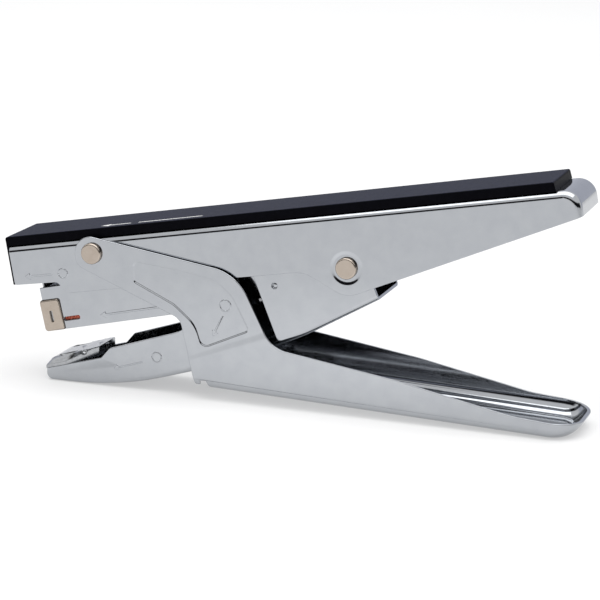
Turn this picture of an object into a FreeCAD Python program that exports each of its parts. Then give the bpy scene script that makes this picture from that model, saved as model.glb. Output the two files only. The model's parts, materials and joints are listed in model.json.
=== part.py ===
import FreeCAD, Part
import math
import os

from FreeCAD import Placement, Rotation, Vector

# A hand plier stapler, standing open on its jaw and on the tip of its lower handle.
# +X runs from the jaw to the handle ends, +Z is up, and the tool is symmetric about Y = 0.
# Each moving group is drawn in a frame of its own. Those of the upper handle, the magazine
# and the anvil arm stand at the main pivot, and the lower handle's at the front pivot.

os.makedirs("parts", exist_ok=True)
doc = FreeCAD.newDocument("plier_stapler")

# ---------------------------------------------------------------- driving dimensions

DIMENSIONS = {
    # pivots, and the tilt of each group above the horizontal
    "main_pivot_x": 18.97,
    "main_pivot_z": 42.8,
    "front_pivot_x": -57.73,
    "front_pivot_z": 40.4,
    "upper_tilt": 10.3,
    "magazine_tilt": 12.9,
    # sheet thicknesses and widths over the bent sides
    "sheet": 0.9,
    "shell_width": 22.4,
    "cover_width": 21.0,
    "lever_width": 25.4,
    "lever_sheet": 1.0,
    "arm_width": 19.6,
    "arm_sheet": 1.0,
    "casing_width": 15.0,
    "casing_sheet": 0.6,
    "nose_width": 16.6,
    "nose_sheet": 0.7,
    "drawer_width": 13.6,
    "drawer_sheet": 0.4,
    "rail_width": 11.2,
    "rail_sheet": 0.8,
    # staples, made of round wire
    "staple_width": 12.7,
    "staple_wire": 0.45,
    "strip_length": 49.6,
    # upper handle
    "shell_front": -103.0,
    "shell_rear": 68.3,
    "shell_top": 15.5,
    "shell_bend": 2.0,
    "cover_top": 18.2,
    "cover_rear": 61.8,
    "peg_radius": 1.5,
    # pivots
    "main_shank_radius": 2.0,
    "front_shank_radius": 2.2,
    "head_radius": 3.1,
    "sleeve_radius": 3.0,
    "running_gap": 0.06,
    "washer_thickness": 0.3,
    # magazine, measured along and across its own axis
    "magazine_front": -97.0,
    "magazine_rear": -20.0,
    "magazine_top": 6.0,
    "magazine_bottom": -7.07,
    "strip_front": -95.6,
    "drawer_rear": -5.7,
    "guide_rod_radius": 1.0,
    "guide_rod_height": -3.2,
    "driver_thickness": 0.5,
    "driver_width": 12.6,
    # roller between the lever's plates
    "roller_x": 44.43,
    "roller_z": -31.56,
    "roller_radius": 3.0,
    "roller_width": 16.0,
    "roller_pin_radius": 1.5,
    # torsion springs
    "coil_radius": 4.8,
    "spring_wire_radius": 0.5,
}

sheet = doc.addObject("Spreadsheet::Sheet", "Sizes")
for row, (alias, number) in enumerate(DIMENSIONS.items(), start=1):
    sheet.set(f"A{row}", alias)
    sheet.set(f"B{row}", str(number))
    sheet.setAlias(f"B{row}", alias)
doc.recompute()


def size(alias):
    """A driving dimension, read back from the sheet."""
    return float(sheet.get(alias))


def cell(expression):
    """An expression over the sheet: every word that is an alias becomes a reference."""
    words = expression.split(" ")
    return " ".join(f"Sizes.{word}" if word in DIMENSIONS else word for word in words)


# ---------------------------------------------------------------- frames of the groups

def tilted_frame(pivot, tilt_degrees):
    """A frame at a pivot, turned so that its X axis climbs towards the rear."""
    place = Vector(size(f"{pivot}_x"), 0, size(f"{pivot}_z"))
    return Placement(place, Rotation(Vector(0, 1, 0), -tilt_degrees))


upper_frame = tilted_frame("main_pivot", size("upper_tilt"))
magazine_frame = tilted_frame("main_pivot", size("magazine_tilt"))
arm_frame = tilted_frame("main_pivot", 0.0)
lever_frame = tilted_frame("front_pivot", 0.0)

nodes = {}


# ---------------------------------------------------------------- tools for drawing

def rounded(corners):
    """A closed outline of straight runs and tangent arcs.

    Each corner is (x, y) or (x, y, radius).
    """
    points = [Vector(corner[0], corner[1], 0) for corner in corners]
    radii = [corner[2] if len(corner) > 2 else 0.0 for corner in corners]
    count = len(points)
    entries = []
    exits = []
    arcs = []
    for index, (point, radius) in enumerate(zip(points, radii)):
        back = (points[index - 1] - point).normalize()
        ahead = (points[(index + 1) % count] - point).normalize()
        if radius == 0.0:
            entries.append(point)
            exits.append(point)
            continue
        half_angle = back.getAngle(ahead) / 2
        run = radius / math.tan(half_angle)
        middle_way = (back + ahead).normalize()
        centre = point + middle_way * (radius / math.sin(half_angle))
        entry = point + back * run
        leave = point + ahead * run
        arcs.append(Part.Arc(entry, centre - middle_way * radius, leave))
        entries.append(entry)
        exits.append(leave)
    edges = list(arcs)
    for index in range(count):
        start = exits[index]
        end = entries[(index + 1) % count]
        if start.distanceToPoint(end) > 1e-6:
            edges.append(Part.LineSegment(start, end))
    return edges


def rectangle(left, right, low, high):
    """The four sides of a box seen square on."""
    return rounded([(left, low), (right, low), (right, high), (left, high)])


def circle(x, y, radius):
    """One round hole or disc."""
    return [Part.Circle(Vector(x, y, 0), Vector(0, 0, 1), radius)]


def new_body(label, frame):
    """An empty body, listed as one of the tool's pieces."""
    body = doc.addObject("PartDesign::Body", label)
    body.Placement = frame
    nodes[label] = body
    return body


def sketch_on(body, role, edges, lift=0.0):
    """A sketch on one of the body's own planes, lifted along that plane's normal."""
    sketch = body.newObject("Sketcher::SketchObject", f"{body.Label}_sketch")
    origin_plane = [item for item in body.Origin.OriginFeatures if item.Role == role][0]
    sketch.AttachmentSupport = (origin_plane, "")
    sketch.MapMode = "FlatFace"
    sketch.AttachmentOffset = Placement(Vector(0, 0, lift), Rotation())
    sketch.addGeometry(edges, False)
    return sketch


def pad_across(body, edges, width):
    """Fill a side outline to a width, half of it on each side of the middle plane."""
    pad = body.newObject("PartDesign::Pad", f"{body.Label}_pad")
    pad.Profile = sketch_on(body, "XZ_Plane", edges)
    pad.SideType = "Symmetric"
    pad.setExpression("Length", cell(width))
    doc.recompute()
    return pad


def cut_across(body, edges, width=None):
    """Cut a side outline out of the middle, to a width or right through."""
    before = body.Shape.Volume
    pocket = body.newObject("PartDesign::Pocket", f"{body.Label}_cut")
    pocket.Profile = sketch_on(body, "XZ_Plane", edges)
    pocket.SideType = "Symmetric"
    if width is None:
        pocket.Type = "ThroughAll"
    else:
        pocket.setExpression("Length", cell(width))
    doc.recompute()
    require_less(body, before)
    return pocket


def cut_down(body, edges, top, depth):
    """Cut a plan outline downward from a height."""
    before = body.Shape.Volume
    pocket = body.newObject("PartDesign::Pocket", f"{body.Label}_cut")
    pocket.Profile = sketch_on(body, "XY_Plane", edges, top)
    pocket.Length = depth
    doc.recompute()
    require_less(body, before)
    return pocket


def require_less(body, volume):
    """Stop if a cut took nothing away."""
    if not body.Shape.Volume < volume - 1e-4:
        raise RuntimeError(f"{body.Label}: a cut removed nothing")


def pad_along(body, edges, start, length):
    """Draw a cross-section out along X from a starting place."""
    pad = body.newObject("PartDesign::Pad", f"{body.Label}_pad")
    pad.Profile = sketch_on(body, "YZ_Plane", edges, start)
    pad.setExpression("Length", cell(length))
    doc.recompute()
    return pad


def round_edges(body, wanted, radius):
    """Round the edges that the test accepts, and every edge that runs on smoothly from them."""
    base = body.Tip
    names = [f"Edge{number}" for number, edge in enumerate(base.Shape.Edges, 1) if wanted(edge)]
    fillet = body.newObject("PartDesign::Fillet", f"{body.Label}_bend")
    fillet.Base = (base, names)
    fillet.Radius = radius
    doc.recompute()
    if "Invalid" in fillet.State or not fillet.Shape.isValid():
        raise RuntimeError(f"{body.Label}: a rounding failed")
    return fillet


def on_side(edge, half_width):
    """Whether an edge lies in one of the two sides."""
    box = edge.BoundBox
    return box.YLength < 0.01 and abs(abs(box.YMin) - half_width) < 0.01


def turned(label, frame, profile):
    """A body turned about Y. The profile holds corners of (radius, y)."""
    body = new_body(label, frame)
    revolution = body.newObject("PartDesign::Revolution", f"{label}_turn")
    sketch = sketch_on(body, "XY_Plane", rounded(profile))
    revolution.Profile = sketch
    revolution.ReferenceAxis = (sketch, ["V_Axis"])
    revolution.Angle = 360.0
    doc.recompute()
    return body


TO_Y = Rotation(Vector(1, 0, 0), -90)
TO_X = Rotation(Vector(0, 1, 0), 90)
TO_Z = Rotation()


def cylinder(label, radius, length, place):
    """A plain round bar, with its radius and length bound to the sheet."""
    bar = doc.addObject("Part::Cylinder", label)
    bar.setExpression("Radius", cell(radius))
    bar.setExpression("Height", cell(length))
    bar.Placement = place
    return bar


def ring(label, outer, inner, length, place):
    """A bar with a coaxial hole."""
    cut = doc.addObject("Part::Cut", label)
    cut.Base = cylinder(f"{label}_bar", outer, length, place)
    cut.Tool = cylinder(f"{label}_hole", inner, length, place)
    return cut


def group(label, members):
    """Separate identical solids that share one node."""
    compound = doc.addObject("Part::Compound", label)
    compound.Links = members
    nodes[label] = compound
    return compound


# ---------------------------------------------------------------- upper handle

def rivet_profile(shank, head, shoulder, head_thickness):
    """Half section of a rivet with two bevelled heads, from its middle line outward."""
    top = shoulder + head_thickness
    bevel = 0.35
    right_half = [(shank, shoulder), (head, shoulder), (head, top - bevel), (head - bevel, top)]
    lower = [(0, -top)] + [(radius, -y) for radius, y in reversed(right_half)]
    return lower + right_half + [(0, top)]


def make_upper_shell():
    """Inverted channel, deepest at the main pivot, with a closed, rounded rear end."""
    front = size("shell_front")
    rear = size("shell_rear")
    top = size("shell_top")
    wall = size("sheet")
    lip_step = -88.0
    straight_edge = 0.1
    rear_edge = 8.1
    body = new_body("upper_handle_shell", upper_frame)
    pad_across(body, rounded([
        (front, top),
        (front, 3.9, 0.6),
        (lip_step - 1.2, 3.6, 1.5),
        (lip_step + 1.2, straight_edge, 1.5),
        (-12.8, straight_edge, 9.0),
        (-1.45, -8.4, 7.5),
        (rear, rear_edge),
        (rear, top, 5.0),
    ]), "shell_width")
    half = size("shell_width") / 2
    round_edges(body, lambda edge: on_side(edge, half) and edge.BoundBox.ZMin > top - 5.1,
                size("shell_bend"))
    cut_across(body, rounded([
        (front - 1, top - wall),
        (rear - wall, top - wall, 5.0 - wall),
        (rear - wall, -20),
        (front - 1, -20),
    ]), "shell_width - 2 * sheet")
    cut_across(body, circle(0, 0, size("main_shank_radius")))
    cut_across(body, circle(*front_pivot_in_upper_frame(), size("front_shank_radius")))
    for place in COVER_PEGS:
        cut_down(body, circle(place, 0, size("peg_radius")), top + 1, 3.0)
    return body


def front_pivot_in_upper_frame():
    """Where the front pivot lies along and across the upper handle."""
    pivot = Vector(size("front_pivot_x"), 0, size("front_pivot_z"))
    local = upper_frame.inverse().multVec(pivot)
    return local.x, local.z


COVER_PEGS = (-84.0, -20.0, 44.0)


def make_cover():
    """Plastic strip on the shell's roof, with a lip that hangs over the shell's front."""
    front = size("shell_front")
    top = size("cover_top")
    roof = size("shell_top")
    rear = size("cover_rear")
    lip = 1.0
    rear_slope = 0.3
    body = new_body("top_cover", upper_frame)
    pad_across(body, rounded([
        (front - lip, 3.9),
        (front, 3.9),
        (front, roof),
        (rear, roof),
        (rear - rear_slope, top, 0.6),
        (front - lip, top, 0.7),
    ]), "cover_width")
    half = size("cover_width") / 2
    round_edges(body, lambda edge: on_side(edge, half) and edge.BoundBox.ZMin > top - 0.8, 0.5)
    for place in COVER_PEGS:
        pegs = body.newObject("PartDesign::Pad", "top_cover_peg")
        pegs.Profile = sketch_on(body, "XY_Plane", circle(place, 0, size("peg_radius")), roof - 3)
        pegs.Length = 3.5
        doc.recompute()
    return body


def make_cover_push_nuts():
    """Toothed washers that grip the cover's pegs under the roof, drawn as plain rings."""
    thickness = 0.4
    height = size("shell_top") - size("sheet") - thickness
    members = []
    for index, place in enumerate(COVER_PEGS):
        spot = upper_frame * Placement(Vector(place, 0, height), TO_Z)
        members.append(ring(f"push_nut_{index}", "peg_radius * 2.2", "peg_radius",
                            str(thickness), spot))
    return group("cover_push_nuts", members)


DRIVER_FRONT = -96.6
DRIVER_TIP = -4.57
DRIVER_TOP = 14.4
DRIVER_RIVET_HEIGHT = 12.3
DRIVER_RIVET_SPREAD = 3.5


def driver_rivet_holes():
    """The two holes that the blade and its holder share, seen from the front."""
    holes = []
    for side in (-1, 1):
        holes += circle(side * DRIVER_RIVET_SPREAD, DRIVER_RIVET_HEIGHT, 1.0)
    return holes


def make_driver():
    """Blade that pushes one staple out, its folded holder, and the two rivets between them."""
    half = size("driver_width") / 2
    blade = new_body("driver_blade", upper_frame)
    face = rectangle(-half, half, DRIVER_TIP, DRIVER_TOP) + driver_rivet_holes()
    pad_along(blade, face, DRIVER_FRONT, "driver_thickness")

    leg_front = DRIVER_FRONT + size("driver_thickness")
    leg = 1.0
    roof = size("shell_top") - size("sheet")
    holder = new_body("driver_holder", upper_frame)
    leg_face = rectangle(-half, half, 10.3, roof) + driver_rivet_holes()
    pad_along(holder, leg_face, leg_front, str(leg))
    foot = rectangle(-half, half, roof - leg, roof)
    pad_along(holder, foot, leg_front + leg - 0.01, "7.0")

    members = []
    overhang = 0.4
    reach = size("driver_thickness") + leg + 2 * overhang
    for side in (-1, 1):
        spot = Vector(DRIVER_FRONT - overhang, side * DRIVER_RIVET_SPREAD, DRIVER_RIVET_HEIGHT)
        place = upper_frame * Placement(spot, TO_X)
        members.append(cylinder(f"driver_rivet_{side + 1}", "1.0", str(reach), place))
    group("driver_rivets", members)


def make_main_pivot():
    """Rivet, sleeve and washers that the arm and the magazine turn on."""
    shell_side = size("shell_width") / 2
    profile = rivet_profile(size("main_shank_radius"), size("head_radius"), shell_side, 1.0)
    turned("main_pivot_rivet", upper_frame, profile)

    sleeve_length = size("arm_width") - 2 * size("arm_sheet") - 0.2
    start = Placement(Vector(0, -sleeve_length / 2, 0), TO_Y)
    nodes["pivot_sleeve"] = ring("pivot_sleeve", "sleeve_radius", "main_shank_radius",
                                 str(sleeve_length), upper_frame * start)

    outside_arm = size("arm_width") / 2 + 0.1
    washer_pair("main_pivot_washers", upper_frame, outside_arm, "main_shank_radius", 4.5)


def washer_pair(label, frame, nearest, bore, outer):
    """One thin washer on each side of the tool."""
    members = []
    for side in (-1, 1):
        start = nearest if side > 0 else -nearest - size("washer_thickness")
        spot = frame * Placement(Vector(0, start, 0), TO_Y)
        members.append(ring(f"{label}_{side + 1}", str(outer), bore, "washer_thickness", spot))
    group(label, members)


def make_front_pivot():
    """Rivet that the lower handle hangs on, with its washers."""
    lever_side = size("lever_width") / 2 + 0.1
    profile = rivet_profile(size("front_shank_radius"), size("head_radius"), lever_side, 0.9)
    turned("front_pivot_rivet", lever_frame, profile)
    outside_shell = size("shell_width") / 2 + 0.1
    washer_pair("front_pivot_washers", lever_frame, outside_shell, "front_shank_radius", 4.2)


def make_magazine_spring():
    """Coil spring between the roof and the magazine, drawn as its outer tube."""
    foot = 3.5
    length = size("shell_top") - size("sheet") - foot
    spot = upper_frame * Placement(Vector(-60.2, 0, foot), TO_Z)
    nodes["magazine_spring"] = ring("magazine_spring", "4.0", "3.3", str(length), spot)


# ---------------------------------------------------------------- lower handle

LEVER_FLOOR_START = 36.0


def make_lower_handle():
    """Two plates on the front pivot, which join into an open trough with a rounded tip."""
    wall = size("lever_sheet")
    half = size("lever_width") / 2
    tip = 144.2
    rim = -35.2
    floor_front = (32.2, -36.65)
    floor_rear = (tip, -40.4)
    body = new_body("lower_handle", lever_frame)
    pad_across(body, rounded([
        (-5.4, 5.6, 5.0),
        (44.5, -1.85, 14.0),
        (55.2, -22.5, 9.0),
        (131.8, rim, 40.0),
        (tip, rim),
        (*floor_rear, 5.0),
        floor_front,
        (27.3, -16.85, 4.0),
        (-5.4, -3.8, 4.0),
    ]), "lever_width")

    round_edges(body, lambda edge: on_side(edge, half) and edge.BoundBox.ZMax < rim - 0.5, 2.5)
    for side in (-1, 1):
        corner = rounded([
            (tip - 10, side * half),
            (tip, side * half, 9.0),
            (tip, side * (half - 10)),
            (tip + 1, side * (half - 10)),
            (tip + 1, side * (half + 1)),
            (tip - 10, side * (half + 1)),
        ])
        cut_down(body, corner, rim + 1, 10.0)

    # the space between the plates, and the trough as far as the tip's rounding
    slope = (floor_rear[1] - floor_front[1]) / (floor_rear[0] - floor_front[0])
    trough_end = tip - 14.0

    def floor_at(x):
        return floor_front[1] + slope * (x - floor_front[0]) + wall

    cut_across(body, rounded([
        (-20, 20),
        (-20, -50),
        (LEVER_FLOOR_START, -50),
        (LEVER_FLOOR_START, floor_at(LEVER_FLOOR_START)),
        (trough_end, floor_at(trough_end)),
        (trough_end, 20),
    ]), "lever_width - 2 * lever_sheet")

    # the tip's hollow is cut from above in two steps, which stay inside its round underside
    inner = half - wall
    for end, low in ((tip - wall, -36.6), (tip - 3.5, floor_at(tip))):
        plan = rounded([
            (trough_end - 1, -inner),
            (end, -inner, 8.0),
            (end, inner, 8.0),
            (trough_end - 1, inner),
        ])
        cut_down(body, plan, 0.0, -low)
    cut_across(body, circle(0, 0, size("front_shank_radius") + size("running_gap")))
    return body


def make_roller():
    """Roller under the arm, and the pin that carries it between the lever's plates."""
    span = size("lever_width") - 2 * size("lever_sheet")
    axis = Vector(size("roller_x"), 0, size("roller_z"))
    start = lever_frame * Placement(axis - Vector(0, span / 2, 0), TO_Y)
    pin = cylinder("roller_pin", "roller_pin_radius", "lever_width - 2 * lever_sheet", start)
    nodes["roller_pin"] = pin
    start = lever_frame * Placement(axis - Vector(0, size("roller_width") / 2, 0), TO_Y)
    roller = ring("thrust_roller", "roller_radius", "roller_pin_radius + running_gap",
                  "roller_width", start)
    nodes["thrust_roller"] = roller


# ---------------------------------------------------------------- anvil arm

ARM_UNDERSIDE = [
    (9.2, -8.6),
    (-12.0, -21.0, 60.0),
    (-35.0, -31.8, 60.0),
    (-69.9, -42.8, 100.0),
    (-93.2, -42.8, 2.0),
]
JAW_TOP_FRONT = (-93.2, -39.4)
JAW_TOP_REAR = (-75.2, -34.3)
RETURN_HOOK = (-26.0, -12.0)
EAR_HOLE = (-21.7, -7.4)


def make_anvil_arm():
    """Channel open above: a low jaw, walls that climb back, and ears round the main pivot."""
    wall = size("arm_sheet")
    half = size("arm_width") / 2
    body = new_body("anvil_arm", arm_frame)
    pad_across(body, rounded(ARM_UNDERSIDE + [
        JAW_TOP_FRONT,
        (*JAW_TOP_REAR, 1.5),
        (-72.6, -31.2, 1.0),
        (-49.6, -23.6, 10.0),
        (-33.8, -3.2, 4.0),
        (-12.0, 6.4, 8.0),
        (2.8, 6.4, 5.0),
    ]), "arm_width")

    low = JAW_TOP_FRONT[1]
    round_edges(body, lambda edge: on_side(edge, half) and edge.BoundBox.ZMax < low, 1.5)
    lifted = [(x, z + wall * 1.06) + tuple(rest) for x, z, *rest in ARM_UNDERSIDE[1:4]]
    cut_across(body, rounded([
        (14.0, lifted[0][1] + 15.2),
        *lifted,
        (JAW_TOP_FRONT[0] + wall, lifted[-1][1]),
        (JAW_TOP_FRONT[0] + wall, 20.0),
        (14.0, 20.0),
    ]), "arm_width - 2 * arm_sheet")

    # slot that parts each ear from the front wall, from the top edge down to the floor
    slot_width = 6.0
    slot_top = 5.0
    ear_foot = (-20.5, -23.55)
    ear_lean = 0.415
    floor_rise = 0.47
    wall_foot = (ear_foot[0] - slot_width, ear_foot[1] - floor_rise * slot_width)
    cut_across(body, rounded([
        (*ear_foot, 0.6),
        (ear_foot[0] - ear_lean * (slot_top - ear_foot[1]), slot_top),
        (wall_foot[0] - ear_lean * (slot_top - wall_foot[1]), slot_top),
        (*wall_foot, 0.6),
    ]))
    cut_across(body, circle(0, 0, size("main_shank_radius") + size("running_gap")))
    cut_across(body, circle(*EAR_HOLE, 0.9))
    for place in ANVIL_RIVETS:
        cut_down(body, circle(place, 0, 1.5), -40.0, 6.0)
    return body


ANVIL_RIVETS = (-84.0, -78.5)


def make_anvil_plate():
    """Hardened plate on the jaw, narrower at its rear, with two clinching pockets."""
    rear = JAW_TOP_REAR[0] - 0.3
    front = JAW_TOP_FRONT[0] + 0.2
    face_point = Vector(-85.1, 0, -34.4)
    face_slope = math.tan(math.radians(17.5))
    seat_slope = (JAW_TOP_REAR[1] - JAW_TOP_FRONT[1]) / (JAW_TOP_REAR[0] - JAW_TOP_FRONT[0])

    def top_at(x):
        return face_point.z + face_slope * (x - face_point.x)

    def seat_at(x):
        return JAW_TOP_FRONT[1] + seat_slope * (x - JAW_TOP_FRONT[0])

    body = new_body("anvil_plate", arm_frame)
    pad_across(body, rounded([
        (front, seat_at(front)),
        (rear, seat_at(rear)),
        (rear, top_at(rear), 0.5),
        (front, top_at(front), 0.8),
    ]), "arm_width - 0.4")

    # the rear corners are cut off, so that the plate passes between the jaw's steps
    half = size("arm_width") / 2
    for side in (-1, 1):
        corner = rounded([(rear - 9, side * (half + 1)), (rear + 1, side * (half + 1)),
                          (rear + 1, side * 5.4)])
        cut_down(body, corner, top_at(rear) + 1, 8.0)
    for side in (-1, 1):
        pocket = rounded([
            (-91.4, side * 2.2, 0.7),
            (-87.6, side * 2.2, 0.7),
            (-87.6, side * 6.9, 0.7),
            (-91.4, side * 6.9, 0.7),
        ])
        cut_down(body, pocket, top_at(-87.6), 1.9)
    for place in ANVIL_RIVETS:
        cut_down(body, circle(place, 0, 1.5), top_at(rear) + 1, 12.0)
    return body


def make_anvil_rivets():
    """Studs that tie the plate to the jaw's floor, flush above and below."""
    members = []
    for index, place in enumerate(ANVIL_RIVETS):
        low = -42.7 if place < -80 else -42.1
        top = -34.6 + 0.3153 * (place + 85.1)
        spot = arm_frame * Placement(Vector(place, 0, low), TO_Z)
        members.append(cylinder(f"anvil_stud_{index}", "1.5", str(top - low), spot))
    return group("anvil_rivets", members)


def make_return_springs():
    """Two torsion springs round the sleeve. Each coil is drawn as its outer tube.

    A front leg hooks over the ear's front edge, and a rear leg stands up to the shell's roof.
    """
    wire = size("spring_wire_radius")
    coil = size("coil_radius")
    inner_end = 5.7
    leg_plane = 8.15
    members = []
    for side in (-1, 1):
        start = min(side * inner_end, side * (leg_plane + wire))
        length = leg_plane + wire - inner_end
        place = Placement(Vector(0, start, 0), TO_Y)
        tube = ring(f"coil_{side + 1}", "coil_radius + spring_wire_radius",
                    "coil_radius - spring_wire_radius", str(length), arm_frame * place)
        hook = Vector(RETURN_HOOK[0], side * leg_plane, RETURN_HOOK[1])
        legs = [
            wire_leg(Vector(-1.2, side * leg_plane, -coil + 0.15), hook),
            wire_leg(hook, hook + Vector(0, side * 1.9, 0)),
            wire_leg(Vector(-coil, side * leg_plane, 0), Vector(-coil, side * leg_plane, 12.6)),
        ]
        spring = doc.addObject("Part::MultiFuse", f"return_spring_{side + 1}")
        spring.Shapes = [tube] + legs
        members.append(spring)
    return group("return_springs", members)


def wire_leg(start, end):
    """A straight round leg, just thinner than the coil's wall, with a ball where it bends."""
    way = end - start
    place = arm_frame * Placement(start, Rotation(Vector(0, 0, 1), way))
    leg = cylinder("spring_leg", "spring_wire_radius * 0.9", str(way.Length), place)
    ball = doc.addObject("Part::Sphere", "spring_leg_end")
    ball.setExpression("Radius", cell("spring_wire_radius"))
    ball.Placement = arm_frame * Placement(end, Rotation())
    joined = doc.addObject("Part::Fuse", "spring_leg_joined")
    joined.Base = leg
    joined.Tool = ball
    return joined


# ---------------------------------------------------------------- magazine

WINDOW = (-91.3, -86.0, -4.7, -3.5)


def channel_section(half, low, high, wall, open_above):
    """Cross-section of a channel, as corners in Y and Z."""
    inner = half - wall
    if open_above:
        return rounded([(-half, low), (half, low), (half, high), (inner, high),
                        (inner, low + wall), (-inner, low + wall), (-inner, high), (-half, high)])
    return rounded([(-half, low), (-inner, low), (-inner, high - wall), (inner, high - wall),
                    (inner, low), (half, low), (half, high), (-half, high)])


def window():
    """The side slot through which the staples are seen."""
    left, right, low, high = WINDOW
    return rounded([(left, low, 0.5), (right, low, 0.5), (right, high, 0.5), (left, high, 0.5)])


HANGER_RIVETS = (-27.0, -23.0)


def make_magazine_casing():
    """Inverted channel over the staples, notched above for the driver."""
    half = size("casing_width") / 2
    front = size("magazine_front")
    top = size("magazine_top")
    body = new_body("magazine_casing", magazine_frame)
    section = channel_section(half, size("magazine_bottom"), top, size("casing_sheet"), False)
    pad_along(body, section, front, "magazine_rear - magazine_front")
    cut_down(body, rectangle(front - 1, front + 2, -6.6, 6.6), top + 1, 3.0)
    cut_across(body, window())
    for place in HANGER_RIVETS:
        cut_down(body, circle(place, 0, 1.0), top + 1, 3.0)
    return body


def make_magazine_hanger():
    """Narrow bracket under the casing's roof, whose ears turn on the pivot sleeve."""
    roof = size("magazine_top") - size("casing_sheet")
    wall = 0.8
    eye = 4.6
    body = new_body("magazine_hanger", magazine_frame)
    pad_across(body, rounded([
        (-30.0, roof),
        (-30.0, 2.5, 1.0),
        (-17.0, 0.2, 2.0),
        (-4.75, 0.2),
        (-eye, -eye, eye - 0.3),
        (eye, -eye, eye - 0.3),
        (eye, roof, eye - 0.3),
    ]), "10.8")
    cut_across(body, rectangle(-31, 6, -10, roof - wall), "9.2")
    cut_across(body, circle(0, 0, size("sleeve_radius") + size("running_gap")))
    for place in HANGER_RIVETS:
        cut_down(body, circle(place, 0, 1.0), roof + 1, 3.0)

    members = []
    for index, place in enumerate(HANGER_RIVETS):
        spot = magazine_frame * Placement(Vector(place, 0, roof - wall - 0.3), TO_Z)
        members.append(cylinder(f"hanger_rivet_{index}", "1.0", "2.0", spot))
    group("hanger_rivets", members)


def make_drawer_latch():
    """Leaf spring under the casing's roof. Its hook holds the drawer's rear end."""
    roof = size("magazine_top") - size("casing_sheet")
    leaf = 0.4
    body = new_body("drawer_latch", magazine_frame)
    pad_across(body, rounded([
        (-62.0, roof),
        (-62.0, roof - leaf),
        (-42.2, roof - leaf, 3.0),
        (-12.0, 0.2, 3.0),
        (-7.3, 0.2, 0.3),
        (-7.3, -0.6),
        (-6.9, -0.6),
        (-6.9, 0.6, 0.5),
        (-12.0, 0.6, 3.0),
        (-42.0, roof, 3.0),
    ]), "6.0")


def make_strip_guide():
    """Channel under the casing's roof, whose edges keep the staples down on the rail."""
    roof = size("magazine_top") - size("casing_sheet")
    body = new_body("strip_guide", magazine_frame)
    pad_along(body, channel_section(4.5, -0.15, roof, 0.5, False), -94.4, "30.0")


# ---------------------------------------------------------------- staple drawer

def make_nose_plate():
    """Plate over the magazine's front, with a wing along each side and a slot in each wing."""
    front = size("magazine_front") - 0.1
    wall = size("nose_sheet")
    low = size("magazine_bottom")
    body = new_body("nose_plate", magazine_frame)
    pad_across(body, rounded([
        (front - wall, low, 1.0),
        (front - wall, 2.4, 0.9),
        (-91.4, 2.4, 0.9),
        (-91.4, low, 0.5),
    ]), "nose_width")
    half = size("nose_width") / 2

    def front_corner(edge):
        return on_side(edge, half) and edge.BoundBox.XMax < front - wall + 0.01

    round_edges(body, front_corner, 0.6)
    cut_across(body, rectangle(front, -90, low - 1, 4), "nose_width - 2 * nose_sheet")
    slot = rounded([(-95.1, -4.4, 0.3), (-94.2, -4.4, 0.3), (-94.2, -1.0, 0.3), (-95.1, -1.0, 0.3)])
    cut_across(body, slot)


def make_staple_drawer():
    """Channel that carries the staples. Its floor stops behind the staples' way out."""
    front = size("magazine_front") - 0.1
    rear = size("drawer_rear")
    strip = size("strip_front")
    wall = size("drawer_sheet")
    low = size("magazine_bottom") + 0.07
    body = new_body("staple_drawer", magazine_frame)
    section = channel_section(size("drawer_width") / 2, low, -1.0, wall, True)
    pad_along(body, section, front, str(rear - front))
    cut_across(body, rectangle(front - 1, strip, low - 1, low + 1), "drawer_width - 2 * drawer_sheet")
    cut_across(body, window())


def make_core_rail():
    """Rail that the staples straddle, closed at both ends, where the guide rod is held."""
    wall = size("rail_sheet")
    front = size("strip_front")
    rear = size("drawer_rear") - 0.8
    low = size("magazine_bottom") + 0.07 + size("drawer_sheet")
    top = -0.8
    body = new_body("core_rail", magazine_frame)
    pad_across(body, rectangle(front, rear, low, top), "rail_width")
    cut_across(body, rectangle(front + wall, rear - wall, low + wall, 3), "rail_width - 2 * rail_sheet")
    hole = circle(0, size("guide_rod_height"), size("guide_rod_radius"))
    bore = body.newObject("PartDesign::Pocket", "core_rail_bore")
    bore.Profile = sketch_on(body, "YZ_Plane", hole, front - 1)
    bore.Type = "ThroughAll"
    bore.Reversed = True
    before = body.Shape.Volume
    doc.recompute()
    require_less(body, before)

    rod_place = Placement(Vector(front, 0, size("guide_rod_height")), TO_X)
    nodes["guide_rod"] = cylinder("guide_rod", "guide_rod_radius", str(rear - front),
                                  magazine_frame * rod_place)


def make_staple_strip():
    """A part-used strip of staples, glued side by side."""
    half = size("staple_width") / 2
    body = new_body("staple_strip", magazine_frame)
    section = channel_section(half, -6.35, -0.35, size("staple_wire"), False)
    pad_along(body, section, size("strip_front"), "strip_length")


PUSHER_LENGTH = 9.8


def make_pusher():
    """Saddle that slides on the rail behind the staples, and the spring that drives it."""
    start = size("strip_front") + size("strip_length") + 0.1
    centre = 4.55
    saddle = 6.3
    legs = 5.8
    top = -0.3
    body = new_body("pusher", magazine_frame)
    section = rounded([
        (-saddle, -6.2), (-legs, -6.2), (-legs, -0.65), (-centre, -0.65), (-centre, -5.3),
        (centre, -5.3), (centre, -0.65), (legs, -0.65), (legs, -6.2), (saddle, -6.2),
        (saddle, top), (-saddle, top),
    ])
    bore = circle(0, size("guide_rod_height"), size("guide_rod_radius") + size("running_gap"))
    pad_along(body, section + bore, start, str(PUSHER_LENGTH))

    spring_start = start + PUSHER_LENGTH + 0.1
    spring_end = size("drawer_rear") - 0.8 - size("rail_sheet")
    place = Placement(Vector(spring_start, 0, size("guide_rod_height")), TO_X)
    nodes["pusher_spring"] = ring("pusher_spring", "2.3", "1.5", str(spring_end - spring_start),
                                  magazine_frame * place)


# ---------------------------------------------------------------- the whole tool

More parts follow.
